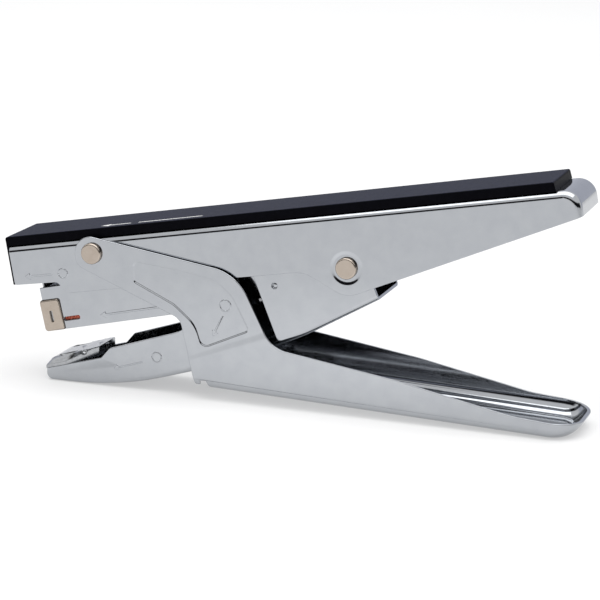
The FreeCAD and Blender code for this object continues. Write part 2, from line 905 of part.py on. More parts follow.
def make_tool():
    """Every piece, group by group."""
    make_upper_shell()
    make_cover()
    make_cover_push_nuts()
    make_driver()
    make_main_pivot()
    make_front_pivot()
    make_magazine_spring()
    make_lower_handle()
    make_roller()
    make_anvil_arm()
    make_anvil_plate()
    make_anvil_rivets()
    make_return_springs()
    make_magazine_casing()
    make_magazine_hanger()
    make_drawer_latch()
    make_strip_guide()
    make_nose_plate()
    make_staple_drawer()
    make_core_rail()
    make_staple_strip()
    make_pusher()
    doc.recompute()


def check_document():
    """Stop before anything is written if any object or shape is bad."""
    for item in doc.Objects:
        if "Invalid" in item.State or "Error" in item.State:
            raise RuntimeError(f"{item.Label}: {item.State}")
    for label, item in nodes.items():
        if item.Shape.isNull() or not item.Shape.isValid():
            raise RuntimeError(f"{label}: bad shape")


make_tool()
check_document()
whole = FreeCAD.BoundBox()
for label, item in nodes.items():
    item.Label = label
    item.Shape.exportStep(f"parts/{label}.step")
    whole.add(item.Shape.BoundBox)
    print(f"{label}: {len(item.Shape.Solids)} solid(s), {item.Shape.Volume:.1f} mm3")
print(f"whole tool: {whole}")
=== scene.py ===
import json
import math

import bmesh
import bpy
from mathutils import Matrix, Vector


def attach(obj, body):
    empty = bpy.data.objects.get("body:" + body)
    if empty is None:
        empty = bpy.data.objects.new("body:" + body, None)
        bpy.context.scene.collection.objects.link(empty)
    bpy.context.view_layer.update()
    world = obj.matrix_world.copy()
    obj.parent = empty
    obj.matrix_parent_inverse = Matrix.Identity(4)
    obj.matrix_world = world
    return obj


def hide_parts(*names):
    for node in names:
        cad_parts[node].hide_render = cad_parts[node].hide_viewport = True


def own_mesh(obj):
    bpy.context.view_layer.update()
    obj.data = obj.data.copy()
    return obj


# The looks of a hand plier stapler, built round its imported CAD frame.
# Each new piece is drawn in millimetres in the frame of the group that it belongs to.

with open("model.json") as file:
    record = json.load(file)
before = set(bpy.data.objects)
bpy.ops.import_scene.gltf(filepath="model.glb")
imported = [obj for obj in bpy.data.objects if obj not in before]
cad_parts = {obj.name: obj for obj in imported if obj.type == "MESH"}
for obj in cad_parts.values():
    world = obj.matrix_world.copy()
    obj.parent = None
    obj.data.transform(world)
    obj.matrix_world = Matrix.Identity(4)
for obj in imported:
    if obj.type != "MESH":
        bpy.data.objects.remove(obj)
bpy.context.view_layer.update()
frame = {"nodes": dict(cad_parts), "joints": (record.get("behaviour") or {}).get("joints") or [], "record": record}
NODES = frame["nodes"]
JOINTS = {joint["name"]: joint for joint in frame["joints"]}
MOUNTS = {mount["name"]: mount for mount in frame["record"]["mounts"]}
MM = 0.001


# ---------------------------------------------------------------- frames of the groups

def group_frame(pivot, tilt):
    """From millimetres in a group's own frame to metres in the row frame."""
    turn = Matrix.Rotation(-tilt, 4, "Y")
    return Matrix.Translation(Vector(pivot)) @ turn @ Matrix.Scale(MM, 4)


MAIN_PIVOT = JOINTS["anvil_arm_close"]["pos_m"]
FRONT_PIVOT = JOINTS["lower_handle_squeeze"]["pos_m"]
cover_normal = MOUNTS["cover_top"]["axis"]
drawer_way = JOINTS["drawer_slide"]["axis"]
UPPER = group_frame(MAIN_PIVOT, math.atan2(-cover_normal[0], cover_normal[2]))
MAGAZINE = group_frame(MAIN_PIVOT, math.atan2(-drawer_way[2], -drawer_way[0]))
ARM = group_frame(MAIN_PIVOT, 0.0)
LEVER = group_frame(FRONT_PIVOT, 0.0)


def local_box(node, place):
    """Lowest and highest corner of a CAD node in a group's frame, in millimetres."""
    back = place.inverted()
    points = [back @ vertex.co for vertex in NODES[node].data.vertices]
    low = Vector(min(point[axis] for point in points) for axis in range(3))
    high = Vector(max(point[axis] for point in points) for axis in range(3))
    return low, high


# ---------------------------------------------------------------- mesh tools

CUTTER_REACH = 1.0
MARK_ROOT = 0.15
SMOOTH_BELOW = math.radians(38)
FACE_WEIGHT = 80


def smooth_step(share):
    """0 to 1, level at both ends."""
    return share * share * (3 - 2 * share)


def rounded(corners, step_degrees=9.0):
    """A closed outline whose corners (x, z, radius) are drawn as arcs."""
    outline = []
    count = len(corners)
    for index, corner in enumerate(corners):
        point = Vector(corner[:2])
        radius = corner[2] if len(corner) > 2 else 0.0
        if radius == 0.0:
            outline.append(point)
            continue
        back = (Vector(corners[index - 1][:2]) - point).normalized()
        ahead = (Vector(corners[(index + 1) % count][:2]) - point).normalized()
        half = back.angle(ahead) / 2
        middle = (back + ahead).normalized()
        centre = point + middle * (radius / math.sin(half))
        run = radius / math.tan(half)
        first = point + back * run - centre
        last = point + ahead * run - centre
        sweep = first.angle_signed(last)
        steps = max(2, round(abs(math.degrees(sweep)) / step_degrees))
        for number in range(steps + 1):
            turn = Matrix.Rotation(-sweep * number / steps, 2)
            outline.append(centre + turn @ first)
    return outline


def inset(outline, distance):
    """The outline moved inwards by a distance, corner by corner."""
    count = len(outline)
    area = sum(outline[k - 1].x * outline[k].y - outline[k].x * outline[k - 1].y for k in range(count))
    side = 1.0 if area > 0 else -1.0
    moved = []
    for index, point in enumerate(outline):
        before = (point - outline[index - 1]).normalized()
        after = (outline[(index + 1) % count] - point).normalized()
        normal = Vector((-before.y - after.y, before.x + after.x)) * side
        length = normal.length
        moved.append(point + normal * (2 * distance / max(length * length, 0.5)))
    return moved


def circle_outline(x, z, radius, steps=48):
    """A round outline."""
    turns = [2 * math.pi * k / steps for k in range(steps)]
    return [Vector((x + radius * math.cos(t), z + radius * math.sin(t))) for t in turns]


def stack(rings):
    """A closed solid through rings of equally many points."""
    work = bmesh.new()
    loops = [[work.verts.new(point) for point in ring] for ring in rings]
    count = len(rings[0])
    for lower, upper in zip(loops, loops[1:]):
        for k in range(count):
            work.faces.new((lower[k - 1], lower[k], upper[k], upper[k - 1]))
    work.faces.new(loops[0])
    work.faces.new(loops[-1])
    bmesh.ops.recalc_face_normals(work, faces=work.faces)
    return work


def vectors(points):
    """Plain points as vectors."""
    return [Vector(point) for point in points]


def on_wall(outline, level, side):
    """An (x, z) outline set up on a side wall, at a distance from the middle plane."""
    return [(point.x, side * level, point.y) for point in outline]


def prism(outline, half):
    """An (x, z) outline filled from one side of the middle plane to the other."""
    return stack([on_wall(outline, half, -1), on_wall(outline, half, 1)])


def soft_step(outline, root, surface, side, rise, slope, steps):
    """A solid from a root level to the wall's surface, and on by a rise whose edges run softly."""
    rings = [on_wall(outline, root, side), on_wall(outline, surface, side)]
    for k in range(1, steps + 1):
        share = k / steps
        level = surface + rise * smooth_step(share)
        rings.append(on_wall(inset(outline, slope * share), level, side))
    return stack(rings)


def pressed(outline, surface, side, depth, slope):
    """A cutter for a pressed-in panel, which starts clear of the wall."""
    return soft_step(outline, surface + CUTTER_REACH, surface, side, -depth, slope, 6)


def raised(outline, surface, side, height, slope):
    """A low raised mark, rooted in the wall."""
    return soft_step(outline, surface - MARK_ROOT, surface, side, height, slope, 4)


def turned(profile, steps=72):
    """A solid turned about the Y axis, from a profile of (radius, y)."""
    work = bmesh.new()
    loops = []
    for radius, y in profile:
        ring = []
        for k in range(steps):
            turn = 2 * math.pi * k / steps
            ring.append(work.verts.new((radius * math.cos(turn), y, radius * math.sin(turn))))
        loops.append(ring)
    for lower, upper in zip(loops, loops[1:]):
        for k in range(steps):
            work.faces.new((lower[k - 1], lower[k], upper[k], upper[k - 1]))
    work.faces.new(loops[0])
    work.faces.new(loops[-1])
    bmesh.ops.recalc_face_normals(work, faces=work.faces)
    return work


def wire(path, radius, sides, work=None):
    """A round wire along a path, with its ends closed."""
    work = work or bmesh.new()
    points = vectors(path)
    count = len(points)
    ways = []
    for k in range(count):
        before = points[max(k - 1, 0)]
        after = points[min(k + 1, count - 1)]
        ways.append((after - before).normalized())
    across = ways[0].orthogonal().normalized()
    rings = []
    for k in range(count):
        across = (across - ways[k] * across.dot(ways[k])).normalized()
        other = ways[k].cross(across)
        ring = []
        for n in range(sides):
            turn = 2 * math.pi * n / sides
            spoke = across * math.cos(turn) + other * math.sin(turn)
            ring.append(work.verts.new(points[k] + spoke * radius))
        rings.append(ring)
    for lower, upper in zip(rings, rings[1:]):
        for n in range(sides):
            work.faces.new((lower[n - 1], lower[n], upper[n], upper[n - 1]))
    work.faces.new(rings[0])
    work.faces.new(rings[-1])
    bmesh.ops.recalc_face_normals(work, faces=work.faces)
    return work


def merge_flat(work, distance, degrees):
    """Join doubled points, and make whole faces of triangles that lie flat together."""
    bmesh.ops.remove_doubles(work, verts=work.verts, dist=distance)
    limit = math.radians(degrees)
    bmesh.ops.dissolve_limit(work, angle_limit=limit, verts=work.verts, edges=work.edges)
    return work


def cad_copy(node, place):
    """A CAD node's mesh in its group's frame, with its flat faces made whole."""
    work = bmesh.new()
    work.from_mesh(NODES[node].data)
    bmesh.ops.transform(work, matrix=place.inverted(), verts=work.verts)
    return merge_flat(work, 0.002, 0.6)


def temporary(work):
    """A scratch object for a modifier to work on, in triangles, since a twisted face may leak."""
    bmesh.ops.triangulate(work, faces=work.faces)
    mesh = bpy.data.meshes.new("scratch")
    work.to_mesh(mesh)
    work.free()
    item = bpy.data.objects.new("scratch", mesh)
    bpy.context.scene.collection.objects.link(item)
    return item


def combine(work, tools, operation):
    """The mesh with each tool cut away from it or joined to it."""
    base = temporary(work)
    cutters = [temporary(tool) for tool in tools]
    for cutter in cutters:
        boolean = base.modifiers.new("combine", "BOOLEAN")
        boolean.object = cutter
        boolean.operation = operation
        boolean.solver = "EXACT"
    result = bmesh.new()
    result.from_object(base, bpy.context.evaluated_depsgraph_get())
    for item in [base] + cutters:
        mesh = item.data
        bpy.data.objects.remove(item)
        bpy.data.meshes.remove(mesh)
    return merge_flat(result, 0.001, 0.3)


def soften(work, radius, least_degrees=42.0, segments=2):
    """Round every edge sharper than an angle."""
    least = math.radians(least_degrees)
    sharp = [edge for edge in work.edges
             if len(edge.link_faces) == 2 and edge.calc_face_angle(0) > least]
    bmesh.ops.bevel(work, geom=sharp, offset=radius, offset_type="OFFSET", segments=segments,
                    profile=0.5, affect="EDGES", clamp_overlap=False)
    return work


def piece(work, name, place, body, material, stands_for=()):
    """Make a mesh a piece of the tool, riding on a CAD body."""
    bmesh.ops.transform(work, matrix=place, verts=work.verts)
    mesh = bpy.data.meshes.new(name)
    work.to_mesh(mesh)
    work.free()
    mesh.polygons.foreach_set("use_smooth", [True] * len(mesh.polygons))
    mesh.set_sharp_from_angle(angle=SMOOTH_BELOW)
    mesh.materials.append(material)
    item = bpy.data.objects.new(name, mesh)
    bpy.context.scene.collection.objects.link(item)
    normals = item.modifiers.new("even_shading", "WEIGHTED_NORMAL")
    normals.keep_sharp = True
    normals.weight = FACE_WEIGHT
    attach(item, body)
    if stands_for:
        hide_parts(*stands_for)
    return item


# ---------------------------------------------------------------- materials

def add_node(tree, kind, **settings):
    """A new node in a tree, with some of its settings."""
    node = tree.nodes.new(kind)
    for key, value in settings.items():
        setattr(node, key, value)
    return node


class Shader:
    """A material whose nodes are added one after another."""

    def __init__(self, name, metallic, roughness, specular=0.5):
        self.material = bpy.data.materials.new(name)
        self.material.use_nodes = True
        self.tree = self.material.node_tree
        self.surface = self.tree.nodes["Principled BSDF"]
        self.surface.inputs["Metallic"].default_value = metallic
        self.surface.inputs["Roughness"].default_value = roughness
        self.surface.inputs["Specular IOR Level"].default_value = specular
        self.place = self.tree.nodes.new("ShaderNodeTexCoord").outputs["Object"]

    def add(self, kind, **settings):
        """A new node with some of its settings."""
        return add_node(self.tree, kind, **settings)

    def join(self, start, end):
        """A link from an output to an input."""
        self.tree.links.new(start, end)

    def noise(self, scale, detail=3.0, stretch=(1, 1, 1)):
        """Noise with a size given in turns per metre."""
        mapping = self.add("ShaderNodeMapping")
        mapping.inputs["Scale"].default_value = stretch
        self.join(self.place, mapping.inputs["Vector"])
        noise = self.add("ShaderNodeTexNoise")
        noise.inputs["Scale"].default_value = scale
        noise.inputs["Detail"].default_value = detail
        self.join(mapping.outputs["Vector"], noise.inputs["Vector"])
        return noise.outputs["Fac"]

    def ramp(self, value, stops):
        """A colour ramp through (place, colour) stops."""
        ramp = self.add("ShaderNodeValToRGB")
        elements = ramp.color_ramp.elements
        while len(elements) < len(stops):
            elements.new(0.5)
        for element, (where, colour) in zip(elements, stops):
            element.position = where
            element.color = (*colour, 1.0)
        self.join(value, ramp.inputs["Fac"])
        return ramp.outputs["Color"]

    def span(self, value, low, high):
        """A value from 0..1 stretched to a range."""
        reach = self.add("ShaderNodeMapRange")
        reach.inputs["To Min"].default_value = low
        reach.inputs["To Max"].default_value = high
        self.join(value, reach.inputs["Value"])
        return reach.outputs["Result"]

    def bump(self, value, height, strength=1.0):
        """Raise the surface by a height in metres, over any bump made before."""
        bump = self.add("ShaderNodeBump")
        bump.inputs["Distance"].default_value = height
        bump.inputs["Strength"].default_value = strength
        self.join(value, bump.inputs["Height"])
        links = self.surface.inputs["Normal"].links
        if links:
            self.join(links[0].from_socket, bump.inputs["Normal"])
        self.join(bump.outputs["Normal"], self.surface.inputs["Normal"])

    def set(self, socket, value):
        """Lead a value to the surface."""
        self.join(value, self.surface.inputs[socket])


def metal(name, dark, light, roughness, cloud=260.0, ripple=0.0, scratches=0.0):
    """Plated or bare metal: cloudy tone, uneven polish, soft ripple and fine scratches."""
    shader = Shader(name, 1.0, roughness)
    shader.set("Base Color", shader.ramp(shader.noise(cloud), [(0.3, dark), (0.7, light)]))
    smears = shader.noise(700.0, 5.0, (1, 1, 2.5))
    shader.set("Roughness", shader.span(smears, roughness * 0.6, roughness * 1.6))
    if ripple:
        shader.bump(shader.noise(170.0, 1.0), ripple)
    if scratches:
        shader.bump(shader.noise(2600.0, 4.0, (0.08, 1, 1)), scratches)
    return shader.material


CHROME = metal("chrome_plate", (0.405, 0.420, 0.445), (0.430, 0.445, 0.468), 0.09, ripple=1.0e-6,
               scratches=1.5e-7)
NICKEL = metal("warm_nickel", (0.425, 0.365, 0.310), (0.455, 0.395, 0.340), 0.20, cloud=500.0)
COPPER = metal("copper_coating", (0.55, 0.14, 0.09), (0.74, 0.24, 0.16), 0.26, cloud=1500.0)
SPRING = metal("spring_steel", (0.24, 0.24, 0.25), (0.34, 0.34, 0.35), 0.22, cloud=900.0)
ZINC = metal("zinc_plate", (0.42, 0.43, 0.44), (0.50, 0.51, 0.52), 0.26, cloud=800.0,
             scratches=4.0e-7)
HARD = metal("hard_steel", (0.36, 0.37, 0.385), (0.45, 0.46, 0.475), 0.16, cloud=900.0,
             ripple=1.2e-6, scratches=3.0e-7)


def black_plastic():
    """Black plastic: smooth sides, and a top with a fine moulded grain and a painted sheen that makes it lighter
    and bluer.
    """
    shader = Shader("black_plastic", 0.0, 0.42, 0.03)
    # painted sheen: where the surface faces up its colour is painted lighter and bluer, standing in for the light
    # the top mirrors
    facing = shader.add("ShaderNodeSeparateXYZ")
    shader.join(shader.place.node.outputs["Normal"], facing.inputs["Vector"])
    painted_top_sheen = shader.add("ShaderNodeMapRange", interpolation_type="SMOOTHSTEP")
    painted_top_sheen.inputs["From Min"].default_value = 0.75
    painted_top_sheen.inputs["From Max"].default_value = 0.95
    shader.join(facing.outputs["Z"], painted_top_sheen.inputs["Value"])
    tone = shader.noise(900.0, 5.0)
    # the painted sheen's lighter, bluer colour for the top, then the plain colour of the sides
    painted_sheen_colour = shader.ramp(tone, [(0.3, (0.006, 0.007, 0.016)), (0.75, (0.012, 0.014, 0.030))])
    plain_side_colour = shader.ramp(tone, [(0.3, (0.0012, 0.0012, 0.0024)), (0.75, (0.0024, 0.0024, 0.0044))])
    mix = shader.add("ShaderNodeMix", data_type="RGBA")
    shader.join(painted_top_sheen.outputs["Result"], mix.inputs["Factor"])
    shader.join(plain_side_colour, mix.inputs["A"])
    shader.join(painted_sheen_colour, mix.inputs["B"])
    shader.set("Base Color", mix.outputs["Result"])
    shader.set("Roughness", shader.span(shader.noise(1800.0, 4.0), 0.34, 0.50))
    shader.bump(shader.noise(5200.0, 2.0), 1.2e-5, 0.8)
    return shader.material


PLASTIC = black_plastic()


def print_white():
    """White pad print, thin and slightly worn."""
    shader = Shader("white_print", 0.0, 0.55, 0.4)
    worn = shader.noise(4200.0, 4.0)
    shader.set("Base Color", shader.ramp(worn, [(0.30, (0.35, 0.35, 0.35)), (0.5, (0.75, 0.75, 0.74))]))
    shader.bump(worn, 2.0e-6)
    return shader.material


PRINT = print_white()
SLOT_MATERIAL = {
    "chrome_sheet": CHROME,
    "black_plastic": PLASTIC,
    "nickel": NICKEL,
    "copper_wire": COPPER,
    "spring_steel": SPRING,
    "zinc_steel": ZINC,
    "hard_steel": HARD,
}
SLOT_OF = {entry["node"]: entry["material_slot"] for entry in frame["record"]["subparts"]}
BODY_OF = {node: body for body, members in frame["record"]["behaviour"]["bodies"].items()
           for node in members}


def dress_cad_nodes():
    """Give every CAD node that stays in view the finish of its slot."""
    for node, item in NODES.items():
        item.data.materials.clear()
        item.data.materials.append(SLOT_MATERIAL[SLOT_OF[node]])


def stand_in(work, node, place):
    """A piece that takes a CAD node's place and body, and the finish of its slot, in the node's stead."""
    slot = SLOT_OF[node]
    name = f"{node}_surface"
    return piece(work, name, place, BODY_OF[node], SLOT_MATERIAL[slot], (node,))


# ---------------------------------------------------------------- pieces

# how far the edges of the larger pieces are rounded
SHELL_EDGE = 0.14
COVER_EDGE = 0.1
LEVER_EDGE = 0.24
ARM_EDGE = 0.13
PLATE_EDGE = 0.1
CASING_EDGE = 0.1

# raised marks: an arrow is its tip, its tail, half the shaft's width, and the head's length and
# half width, and a ring is its centre, its outer radius and its width
MARK_HEIGHT = 0.14
ARROW_SLOPE = 0.4
RING_SLOPE = 0.35
SHELL_ARROW = ((-99.4, 6.1), (-90.2, 6.1), 0.3, 1.9, 1.1)
SHELL_RING = (-86.9, 6.0, 1.7, 0.5)
LEVER_ARROW = ((37.4, -21.0), (40.6, -14.6), 0.35, 1.8, 1.2)
LEVER_RING = (41.2, -11.6, 1.9, 0.5)
JAW_ARROW = ((-71.2, -37.0), (-62.0, -34.1), 0.25, 1.6, 0.9)
JAW_RING = (-57.6, -32.2, 1.7, 0.5)
CASING_ARROW = ((-79.5, -4.4), (-54.0, -4.4), 0.3, 2.0, 1.0)
PRINT_ARROW = ((-74.0, -7.3), (-64.5, -7.3), 0.4, 3.0, 1.4)
PRINT_BAR = ((-62.0, -7.7), (-42.0, -7.7), (-42.0, -6.9), (-62.0, -6.9))
PRINT_LEVELS = (-0.02, 0.012)

# the pressed seat round the main rivet
SEAT_RADIUS = 5.0
SEAT_DEPTH = 0.24
SEAT_SLOPE = 1.2


def arrow_outline(tip, tail, half_width, head_length, head_half):
    """A plain arrow from tail to tip."""
    tip = Vector(tip)
    tail = Vector(tail)
    way = (tip - tail).normalized()
    side = Vector((-way.y, way.x))
    neck = tip - way * head_length
    return [tail + side * half_width, tail - side * half_width, neck - side * half_width,
            neck - side * head_half, tip, neck + side * head_half, neck + side * half_width]


def arrow_mark(arrow, surface, side):
    """A raised arrow on a wall."""
    slope = ARROW_SLOPE * arrow[2]
    return raised(arrow_outline(*arrow), surface, side, MARK_HEIGHT, slope)


def ring_mark(ring, surface, side):
    """Two soft half rings that make a raised circle on a wall."""
    x, z, radius, width = ring
    halves = []
    for start in (0.0, math.pi):
        turns = [start + math.pi * k / 20 for k in range(21)]
        outer = [Vector((x + radius * math.cos(t), z + radius * math.sin(t))) for t in turns]
        inner = [Vector((x + (radius - width) * math.cos(t), z + (radius - width) * math.sin(t)))
                 for t in reversed(turns)]
        halves.append(raised(outer + inner, surface, side, MARK_HEIGHT, width * RING_SLOPE))
    return halves


def make_shell():
    """Upper handle: a dished seat round the main rivet, and plain raised marks at the front."""
    surface = local_box("upper_handle_shell", UPPER)[1].y
    seats = []
    marks = []
    for side in (-1, 1):
        rim = circle_outline(0, 0, SEAT_RADIUS, 72)
        seats.append(pressed(rim, surface, side, SEAT_DEPTH, SEAT_SLOPE))
        marks.append(arrow_mark(SHELL_ARROW, surface, side))
        marks += ring_mark(SHELL_RING, surface, side)
    work = combine(cad_copy("upper_handle_shell", UPPER), seats, "DIFFERENCE")
    work = combine(work, marks, "UNION")
    stand_in(soften(work, SHELL_EDGE), "upper_handle_shell", UPPER)


def make_cover():
    """Plastic strip over the upper handle."""
    stand_in(soften(cad_copy("top_cover", UPPER), COVER_EDGE), "top_cover", UPPER)


# the lower handle from the side: corners (x, z, radius), measured from the front rivet
PANEL = [
    (12.6, -0.9, 1.6),
    (27.5, -2.3, 30.0),
    (38.5, -4.2, 8.0),
    (43.6, -8.5, 9.0),
    (48.9, -18.4, 1.4),
    (34.0, -25.2, 2.4),
    (31.6, -18.2, 9.0),
    (25.3, -13.0, 6.0),
    (12.9, -7.4, 1.2),
]
LEVER_SIDE = [
    (-5.4, 5.6, 5.0),
    (44.5, -1.85, 14.0),
    (55.2, -22.5, 9.0),
    (92.0, -27.9, 60.0),
    (125.5, -34.5, 30.0),
    (147.0, -36.2),
    (147.0, -46.0),
    (34.51, -46.0),
    (27.3, -16.85, 4.0),
    (-5.4, -3.8, 4.0),
]
STEP_OUTLINE = [
    (-9.0, 9.0),
    (-9.0, -31.5),
    (28.0, -31.5),
    (30.0, -29.6),
    (57.0, -18.9),
    (57.0, 9.0),
]
BETWEEN_PLATES = [(-30.0, 20.0), (-30.0, -60.0), (36.0, -60.0), (36.0, 20.0)]
NICK = [(33.1, -38.5), (33.7, -34.6), (35.4, -34.4), (36.8, -38.5)]
FLOOR_START = (32.2, -36.65)
FLOOR_FALL = 3.75 / 112.0
LEVER_SHEET = 1.0
STEP_DEPTH = 0.2
STEP_SLOPE = 2.4
PANEL_DEPTH = 0.25
PANEL_SLOPE = 0.6
FRONT_BORE = 2.26

# the trough: its sheet, where its outside and its inside start, its bends, and its round raked end
TROUGH_SHEET = 0.6
OUTSIDE_START = -20.0
TROUGH_START = 35.5
OUTER_BEND = 3.0
INNER_BEND = 4.2
SPOON_CORNER = 9.0
TIP_RAKE = 4.0
RAKE_CURVE = 1.25
ABOVE_RIM = 30.0


def lever_floor(x):
    """Height of the trough's underside."""
    return FLOOR_START[1] - FLOOR_FALL * (x - FLOOR_START[0])


def spoon(start, tip, half, corner, lift, bend):
    """A solid with a flat sloping bottom, upright sides with a round bend, and a raked round end."""
    # the plan's points, each with the way outwards and its share in the end's rake
    plan = [((start, -half), (0.0, -1.0), 0.0)]
    centre = tip - corner
    for k in range(17):
        turn = math.radians(90.0 * k / 16)
        out = (math.sin(turn), -math.cos(turn))
        spot = (centre + corner * out[0], corner - half + corner * out[1])
        plan.append((spot, out, smooth_step(k / 16)))
    plan += [((x, -y), (out_x, -out_y), share) for (x, y), (out_x, out_y), share in reversed(plan)]
    rings = []
    for k in range(11):
        climb = k / 10
        turn = math.radians(90.0 * climb)
        round_in = bend * (1 - math.sin(turn))
        round_up = bend * (1 - math.cos(turn))
        rake_in = TIP_RAKE * (1 - climb) ** RAKE_CURVE
        rake_up = TIP_RAKE * climb ** RAKE_CURVE
        ring = []
        for (x, y), (out_x, out_y), share in plan:
            inward = round_in + (rake_in - round_in) * share
            upward = round_up + (rake_up - round_up) * share
            edge_x = x - out_x * inward
            edge_y = y - out_y * inward
            ring.append((edge_x, edge_y, lever_floor(edge_x) + lift + upward))
        rings.append(ring)
    rings.append([(x, y, ABOVE_RIM) for (x, y), out, share in plan])
    work = bmesh.new()
    loops = [[work.verts.new(point) for point in ring] for ring in rings]
    count = len(plan)
    for lower, upper in zip(loops, loops[1:]):
        for k in range(count - 1):
            work.faces.new((lower[k], lower[k + 1], upper[k + 1], upper[k]))
    for loop in (loops[0], loops[-1]):
        for k in range(count // 2 - 1):
            work.faces.new((loop[k], loop[k + 1], loop[count - 2 - k], loop[count - 1 - k]))
    work.faces.new([loop[0] for loop in loops] + [loop[-1] for loop in reversed(loops)])
    bmesh.ops.recalc_face_normals(work, faces=work.faces)
    return work


def make_lever():
    """Lower handle: two plates with a pressed panel each, which join into a trough with a spoon end."""
    high = local_box("lower_handle", LEVER)[1]
    surface = high.y
    clear = surface + 2 * CUTTER_REACH
    work = prism(rounded(LEVER_SIDE, 4.0), surface + CUTTER_REACH)
    outside = spoon(OUTSIDE_START, high.x, surface, SPOON_CORNER, 0.0, OUTER_BEND)
    work = combine(work, [outside], "INTERSECT")
    inside = spoon(TROUGH_START, high.x - LEVER_SHEET, surface - TROUGH_SHEET,
                   SPOON_CORNER - LEVER_SHEET, TROUGH_SHEET, INNER_BEND)
    between = prism(vectors(BETWEEN_PLATES), surface - LEVER_SHEET)
    bore = prism(circle_outline(0, 0, FRONT_BORE), clear)
    nick = prism(vectors(NICK), clear)
    work = combine(work, [between, inside, bore, nick], "DIFFERENCE")
    plate = surface - STEP_DEPTH
    floor = plate - PANEL_DEPTH
    steps = []
    panels = []
    marks = []
    for side in (-1, 1):
        steps.append(pressed(vectors(STEP_OUTLINE), surface, side, STEP_DEPTH, STEP_SLOPE))
        panels.append(pressed(rounded(PANEL), plate, side, PANEL_DEPTH, PANEL_SLOPE))
        marks += ring_mark(LEVER_RING, floor, side)
        marks.append(arrow_mark(LEVER_ARROW, floor, side))
    work = combine(work, steps, "DIFFERENCE")
    work = combine(work, panels, "DIFFERENCE")
    work = combine(work, marks, "UNION")
    stand_in(soften(work, LEVER_EDGE, segments=3), "lower_handle", LEVER)


# the pin in the arm's ear: its place, its size, and how far its root and its rim stand back
EAR_HOLE = (-21.7, -7.4)
PIN_RADIUS = 0.93
PIN_CROWN = 0.35
PIN_ROOT = 0.95
PIN_RIM = 0.85


def ear_pin(surface, side):
    """A domed pin end that stands back inside an ear's hole."""
    rings = [on_wall(circle_outline(*EAR_HOLE, PIN_RADIUS, 24), surface - PIN_ROOT, side)]
    for k in range(7):
        turn = math.radians(84.0 * k / 6)
        level = surface - PIN_RIM + PIN_CROWN * math.sin(turn)
        rings.append(on_wall(circle_outline(*EAR_HOLE, PIN_RADIUS * math.cos(turn), 24), level, side))
    return stack(rings)


def make_arm():
    """Anvil arm with plain raised marks on the jaw."""
    surface = local_box("anvil_arm", ARM)[1].y
    marks = []
    for side in (-1, 1):
        marks.append(arrow_mark(JAW_ARROW, surface, side))
        marks += ring_mark(JAW_RING, surface, side)
        marks.append(ear_pin(surface, side))
    work = combine(cad_copy("anvil_arm", ARM), marks, "UNION")
    stand_in(soften(work, ARM_EDGE), "anvil_arm", ARM)


# the anvil plate: two lines of (x, z, rise per length), and sizes across and along it
JAW_SEAT = (-93.2, -39.4, 5.1 / 18.0)
PLATE_FACE = (-85.1, -34.4, 0.3153)
PLATE_SHORTER = 2.0
SIDE_HEIGHT = 1.0
FLAT_HALF = 6.3
REAR_HALF = 5.9
REAR_TAPER = 9.0
NOSE_ROUND = [(0.0, 0.75), (0.5, 0.25), (1.3, 0.05)]
POCKET_PATH = [(-90.6, 4.6), (-89.1, 5.3), (-87.6, 5.6), (-86.1, 5.5), (-84.8, 4.9)]
POCKET_HALF = 1.5
POCKET_DEPTH = 1.5
END_TAPER = 0.35
BRIM = 0.15
DIMPLE = (-81.9, 7.2, -0.2)
DIMPLE_RADIUS = 1.15


def on_line(line, x):
    """Height of a sloping line (x, z, rise per length) at a place."""
    return line[1] + line[2] * (x - line[0])


def plate_face(x):
    """Height of the anvil plate's face."""
    return on_line(PLATE_FACE, x)


def plate_ring(x, droop, rear, half_width):
    """The anvil plate's outline across, at one place along it."""
    seat = on_line(JAW_SEAT, x)
    top = plate_face(x) - droop
    narrow = max(0.0, (x - (rear - REAR_TAPER)) / REAR_TAPER)
    side = half_width - (half_width - REAR_HALF) * narrow
    shoulder = min(FLAT_HALF, side - 0.5)
    share = (side - shoulder) / (half_width - FLAT_HALF)
    rim = top - (top - seat - SIDE_HEIGHT) * share
    crease = (shoulder + (side - shoulder) * 0.45, rim + (top - rim) * 0.62)
    half = [(side, seat), (side, rim), crease, (shoulder, top)]
    return [(x, y, z) for y, z in half] + [(x, -y, z) for y, z in reversed(half)]


def make_anvil_plate():
    """Hardened plate: flat in the middle, sloped to thin sides, with curved pockets and dimples."""
    low, high = local_box("anvil_plate", ARM)
    rear = high.x - PLATE_SHORTER
    start = low.x + 2.5
    stations = [(low.x + run, droop) for run, droop in NOSE_ROUND]
    stations += [(start + (rear - 0.4 - start) * k / 8, 0.0) for k in range(9)]
    stations.append((rear, 0.0))
    work = stack([plate_ring(x, droop, rear, high.y) for x, droop in stations])
    cutters = []
    for side in (-1, 1):
        path = [(x, side * y) for x, y in POCKET_PATH]
        cutters.append(groove(path, POCKET_HALF, plate_face, POCKET_DEPTH))
        x, y, sunk = DIMPLE
        cutters.append(sphere((x, side * y, plate_face(x) + sunk), DIMPLE_RADIUS))
    work = combine(work, cutters, "DIFFERENCE")
    stand_in(soften(work, PLATE_EDGE, 50.0), "anvil_plate", ARM)


def sphere(centre, radius):
    """A ball."""
    work = bmesh.new()
    place = Matrix.Translation(Vector(centre))
    bmesh.ops.create_uvsphere(work, u_segments=24, v_segments=14, radius=radius, matrix=place)
    return work


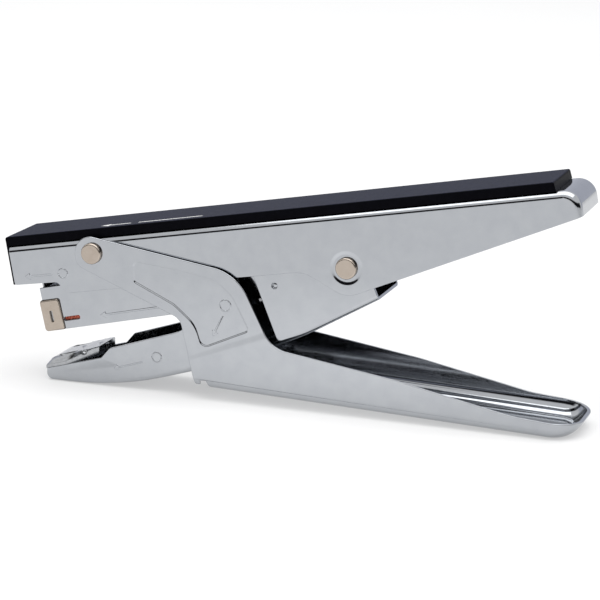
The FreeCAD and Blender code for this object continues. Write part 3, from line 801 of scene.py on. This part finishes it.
def groove(path, half_width, level_at, depth):
    """A cutter for a round-bottomed groove along a path in plan, with tapered ends."""
    points = vectors(path)
    rings = []
    for k, point in enumerate(points):
        before = points[max(k - 1, 0)]
        after = points[min(k + 1, len(points) - 1)]
        way = (after - before).normalized()
        across = Vector((-way.y, way.x))
        taper = END_TAPER if k in (0, len(points) - 1) else 1.0
        ring = []
        for n in range(9):
            turn = math.pi * n / 8
            spot = point + across * (half_width * taper * math.cos(turn))
            low = level_at(spot.x) + BRIM - depth * taper * math.sin(turn)
            ring.append((spot.x, spot.y, low))
        for sign in (-1, 1):
            spot = point + across * (sign * half_width * taper)
            ring.append((spot.x, spot.y, level_at(spot.x) + 2 * CUTTER_REACH))
        rings.append(ring)
    return stack(rings)


def make_casing():
    """Magazine casing with a plain raised arrow on each side."""
    surface = local_box("magazine_casing", MAGAZINE)[1].y
    marks = [arrow_mark(CASING_ARROW, surface, side) for side in (-1, 1)]
    work = combine(cad_copy("magazine_casing", MAGAZINE), marks, "UNION")
    stand_in(soften(work, CASING_EDGE), "magazine_casing", MAGAZINE)


def make_small_sheet_parts():
    """Sheet pieces whose CAD shape is right, with their edges rounded."""
    for node, place, edge in (
        ("nose_plate", MAGAZINE, 0.1),
        ("staple_drawer", MAGAZINE, 0.06),
        ("core_rail", MAGAZINE, 0.1),
        ("pusher", MAGAZINE, 0.08),
        ("magazine_hanger", MAGAZINE, 0.1),
        ("driver_blade", UPPER, 0.05),
        ("driver_holder", UPPER, 0.1),
    ):
        stand_in(soften(cad_copy(node, place), edge), node, place)


# the pivot rivets: rounding of a head's rim, its step in at the neck, its shallow dish, and shanks
RIVET_RIM = 0.55
RIVET_NECK = 0.12
RIVET_DISH = 0.05
MAIN_SHANK = 1.98
FRONT_SHANK = 2.18


def rivet_profile(shank, head, wall, seat, top):
    """Radius and place of a rivet's points, with two flat heads whose rims are rounded over."""
    neck = head - RIVET_NECK
    one = [(shank, seat), (neck, seat), (neck, wall), (head, wall + RIVET_DISH)]
    for k in range(7):
        turn = math.radians(90 * k / 6)
        one.append((head - RIVET_RIM + RIVET_RIM * math.cos(turn),
                    top - RIVET_RIM + RIVET_RIM * math.sin(turn)))
    one.append((head - RIVET_RIM - 0.35, top - RIVET_DISH))
    return [(radius, -y) for radius, y in reversed(one)] + one


def make_rivets():
    """The two pivot rivets, whose heads reach down into the seat and the step round them."""
    for node, place, wall_node, shank, sunk in (
        ("main_pivot_rivet", UPPER, "upper_handle_shell", MAIN_SHANK, SEAT_DEPTH),
        ("front_pivot_rivet", LEVER, "lower_handle", FRONT_SHANK, STEP_DEPTH),
    ):
        high = local_box(node, place)[1]
        wall = local_box(wall_node, place)[1].y
        profile = rivet_profile(shank, high.x, wall, wall - sunk, high.y)
        stand_in(turned(profile), node, place)


# the staples: wire radius, spacing and bend
STAPLE_WIRE = 0.235
STAPLE_PITCH = 0.485
STAPLE_BEND = 0.55


def make_staples():
    """A strip of separate staples, each a bent wire."""
    low, high = local_box("staple_strip", MAGAZINE)
    side = STAPLE_WIRE - high.y
    bend_y = side + STAPLE_BEND
    bend_z = high.z - STAPLE_WIRE - STAPLE_BEND
    count = int((high.x - low.x - 2 * STAPLE_WIRE) / STAPLE_PITCH) + 1
    work = bmesh.new()
    for number in range(count):
        x = low.x + STAPLE_WIRE + number * STAPLE_PITCH
        path = [(x, side, low.z)]
        for k in range(6):
            turn = math.radians(90 * k / 5)
            path.append((x, bend_y - STAPLE_BEND * math.cos(turn), bend_z + STAPLE_BEND * math.sin(turn)))
        path += [(x, -y, z) for _, y, z in reversed(path)]
        wire(path, STAPLE_WIRE, 8, work)
    stand_in(work, "staple_strip", MAGAZINE)


# wire radii and turns of the two straight springs, and how far their moving ends stand back
MAGAZINE_WIRE = 0.35
MAGAZINE_TURNS = 6.5
PUSHER_WIRE = 0.25
PUSHER_TURNS = 13.5
FREE_END = 0.3


def coil_path(radius, length, turns, steps=20):
    """A helix about Z whose end turns lie flat."""
    path = []
    total = round(turns * steps)
    flat = 0.8 * steps
    for k in range(total + 1):
        turn = 2 * math.pi * k / steps
        share = min(max((k - flat) / (total - 2 * flat), 0.0), 1.0)
        path.append((radius * math.cos(turn), radius * math.sin(turn), share * length))
    return path


def make_straight_springs():
    """The magazine's and the pusher's springs as real coils."""
    low, high = local_box("magazine_spring", UPPER)
    middle = (low + high) / 2
    foot = low.z + MAGAZINE_WIRE + FREE_END
    path = coil_path(high.y - MAGAZINE_WIRE, high.z - MAGAZINE_WIRE - foot, MAGAZINE_TURNS)
    work = wire([(x + middle.x, y, z + foot) for x, y, z in path], MAGAZINE_WIRE, 10)
    spring = stand_in(work, "magazine_spring", UPPER)
    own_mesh(spring)

    low, high = local_box("pusher_spring", MAGAZINE)
    middle = (low + high) / 2
    foot = low.x + PUSHER_WIRE + FREE_END
    path = coil_path(high.y - PUSHER_WIRE, high.x - PUSHER_WIRE - foot, PUSHER_TURNS)
    work = wire([(z + foot, x, y + middle.z) for x, y, z in path], PUSHER_WIRE, 8)
    spring = stand_in(work, "pusher_spring", MAGAZINE)
    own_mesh(spring)


# the torsion springs: wire and coil radii, the coils' inner and outer ends, and the hooked legs
RETURN_WIRE = 0.45
RETURN_COIL = 4.8
RETURN_TURNS = 3.25
COIL_INNER = 5.7
COIL_OUTER = 8.65
HOOK = (-26.0, -12.0)
HOOK_REACH = 1.1


def make_return_springs():
    """Two torsion springs that press the arm and the upper handle apart."""
    steps = 24
    total = round(RETURN_TURNS * steps)
    high = local_box("return_springs", ARM)[1]
    inner = COIL_INNER + RETURN_WIRE
    outer = COIL_OUTER - RETURN_WIRE
    hook_x, hook_z = HOOK
    work = bmesh.new()
    for side in (-1, 1):
        path = [(-RETURN_COIL, side * inner, high.z - RETURN_WIRE)]
        for k in range(total + 1):
            turn = math.pi + 2 * math.pi * k / steps
            y = inner + (outer - inner) * k / total
            path.append((RETURN_COIL * math.cos(turn), side * y, -RETURN_COIL * math.sin(turn)))
        for out in (0.0, 0.5, HOOK_REACH):
            path.append((hook_x, side * (outer + out), hook_z))
        wire(path, RETURN_WIRE, 10, work)
    stand_in(work, "return_springs", ARM)


def make_print():
    """Plain printed marks on the cover: a bar and an arrow that points at the jaw."""
    top = local_box("top_cover", UPPER)[1].z
    for name, outline in (
        ("print_bar", vectors(PRINT_BAR)),
        ("print_arrow", arrow_outline(*PRINT_ARROW)),
    ):
        rings = [[(point.x, point.y, top + lift) for point in outline] for lift in PRINT_LEVELS]
        piece(stack(rings), name, UPPER, "upper_handle", PRINT)


# ---------------------------------------------------------------- studio

# the floor: its size in metres, and the painted pool of light that glows in it
FLOOR_RADIUS = 9.0
PAINTED_POOL_CENTRE = (0.02, -0.075, 0.0)
PAINTED_POOL_SIZE = (0.13, 0.11, 0.13)
PAINTED_FLOOR_GLOW = (0.35, 0.61)


def make_floor():
    """A wide pale floor, which glows with a painted pool of light."""
    work = bmesh.new()
    bmesh.ops.create_circle(work, cap_ends=True, radius=FLOOR_RADIUS, segments=96)
    mesh = bpy.data.meshes.new("floor")
    work.to_mesh(mesh)
    work.free()
    floor = bpy.data.objects.new("floor", mesh)
    bpy.context.scene.collection.objects.link(floor)
    shader = Shader("pale_floor", 0.0, 0.9, 0.1)
    tones = [(0.3, (0.52, 0.52, 0.52)), (0.7, (0.54, 0.54, 0.54))]
    shader.set("Base Color", shader.ramp(shader.noise(3.0), tones))
    shader.surface.inputs["Emission Color"].default_value = (1.0, 1.0, 1.0, 1.0)
    # painted light: the floor glows a little everywhere and most just in front of the tool, which lightens its
    # shadow and the floor that the plating mirrors
    painted_pool = shader.add("ShaderNodeMapping", vector_type="TEXTURE")
    painted_pool.inputs["Location"].default_value = PAINTED_POOL_CENTRE
    painted_pool.inputs["Scale"].default_value = PAINTED_POOL_SIZE
    shader.join(shader.place, painted_pool.inputs["Vector"])
    painted_glow = shader.add("ShaderNodeTexGradient", gradient_type="SPHERICAL")
    shader.join(painted_pool.outputs["Vector"], painted_glow.inputs["Vector"])
    shader.set("Emission Strength", shader.span(painted_glow.outputs["Fac"], *PAINTED_FLOOR_GLOW))
    mesh.materials.append(shader.material)


CAMERA_AZIMUTH = math.radians(18.823)
CAMERA_ELEVATION = math.radians(14.309)
CAMERA_ROLL = math.radians(0.929)
CAMERA_DISTANCE = 0.64347
CAMERA_TARGET = Vector((0.001673, 0.0, 0.029392))
CAMERA_LENS = 134.75


def make_camera():
    """A long lens, a little above the floor and to the right of square on."""
    back = Vector((math.sin(CAMERA_AZIMUTH) * math.cos(CAMERA_ELEVATION),
                   -math.cos(CAMERA_AZIMUTH) * math.cos(CAMERA_ELEVATION),
                   math.sin(CAMERA_ELEVATION)))
    right = (-back).cross(Vector((0, 0, 1))).normalized()
    up = right.cross(-back)
    rolled_right = right * math.cos(CAMERA_ROLL) + up * math.sin(CAMERA_ROLL)
    rolled_up = up * math.cos(CAMERA_ROLL) - right * math.sin(CAMERA_ROLL)
    data = bpy.data.cameras.new("camera")
    data.lens = CAMERA_LENS
    data.sensor_width = 36.0
    data.clip_start = 0.01
    data.clip_end = 50.0
    camera = bpy.data.objects.new("camera", data)
    bpy.context.scene.collection.objects.link(camera)
    turn = Matrix((rolled_right, rolled_up, back)).transposed().to_4x4()
    camera.matrix_world = Matrix.Translation(CAMERA_TARGET + back * CAMERA_DISTANCE) @ turn
    bpy.context.scene.camera = camera


# brightness of the room, the colours at its back and front, and the heights where they end
ROOM_STRENGTH = 0.95
REAR_COLOUR = (0.62, 0.64, 0.72, 1.0)
REAR_TOP = (0.50, 0.35)
DARK_COLOUR = (0.008, 0.008, 0.010, 1.0)
DARK_FOOT = (0.02, 0.06)
DARK_TOP = (0.46, 0.34)


def make_world():
    """A white room, dark at the front and grey at the back, so that the plating has contrast."""
    world = bpy.data.worlds.new("studio")
    bpy.context.scene.world = world
    world.use_nodes = True
    tree = world.node_tree
    background = tree.nodes["Background"]
    way = tree.nodes.new("ShaderNodeTexCoord").outputs["Generated"]

    def step(value, start, end):
        """0 before the start and 1 after the end."""
        reach = add_node(tree, "ShaderNodeMapRange", interpolation_type="SMOOTHSTEP")
        reach.inputs["From Min"].default_value = start
        reach.inputs["From Max"].default_value = end
        tree.links.new(value, reach.inputs["Value"])
        return reach.outputs["Result"]

    def times(*factors):
        """The product of some values."""
        result = factors[0]
        for factor in factors[1:]:
            product = add_node(tree, "ShaderNodeMath", operation="MULTIPLY")
            tree.links.new(result, product.inputs[0])
            tree.links.new(factor, product.inputs[1])
            result = product.outputs["Value"]
        return result

    def tint(below, factor, colour):
        """A colour laid over white, or over what is below it."""
        mix = add_node(tree, "ShaderNodeMix", data_type="RGBA")
        mix.inputs["A"].default_value = (1.0, 1.0, 1.0, 1.0)
        if below:
            tree.links.new(below, mix.inputs["A"])
        mix.inputs["B"].default_value = colour
        tree.links.new(factor, mix.inputs["Factor"])
        return mix.outputs["Result"]

    towards = add_node(tree, "ShaderNodeVectorMath", operation="DOT_PRODUCT")
    towards.inputs[1].default_value = (math.sin(CAMERA_AZIMUTH), -math.cos(CAMERA_AZIMUTH), 0.0)
    tree.links.new(way, towards.inputs[0])
    facing = towards.outputs["Value"]
    parts = add_node(tree, "ShaderNodeSeparateXYZ")
    tree.links.new(way, parts.inputs["Vector"])
    height = parts.outputs["Z"]
    # the two tints light the plating, and the background seen directly stays white
    seen = add_node(tree, "ShaderNodeLightPath").outputs["Is Camera Ray"]
    unseen = step(seen, 1.0, 0.0)
    dark = times(step(facing, 0.05, 0.35), step(height, *DARK_FOOT), step(height, *DARK_TOP), unseen)
    rear = times(step(facing, -0.05, -0.35), step(height, *REAR_TOP), unseen)
    room = tint(tint(None, rear, REAR_COLOUR), dark, DARK_COLOUR)
    tree.links.new(room, background.inputs["Color"])
    background.inputs["Strength"].default_value = ROOM_STRENGTH


LIGHT_HEIGHT = 1.3
LIGHT_SIZE = 1.6
LIGHT_POWER = 14.0


def make_light():
    """A large soft box overhead, which shines straight down."""
    data = bpy.data.lights.new("overhead", "AREA")
    data.shape = "RECTANGLE"
    data.size = LIGHT_SIZE
    data.size_y = LIGHT_SIZE
    data.energy = LIGHT_POWER
    light = bpy.data.objects.new("overhead", data)
    bpy.context.scene.collection.objects.link(light)
    light.location = (0.0, 0.0, LIGHT_HEIGHT)
    light.visible_camera = False


make_shell()
make_cover()
make_lever()
make_arm()
make_anvil_plate()
make_casing()
make_small_sheet_parts()
make_rivets()
make_staples()
make_straight_springs()
make_return_springs()
make_print()
dress_cad_nodes()
make_floor()
make_camera()
make_world()
make_light()
bpy.context.scene.view_settings.view_transform = "Standard"
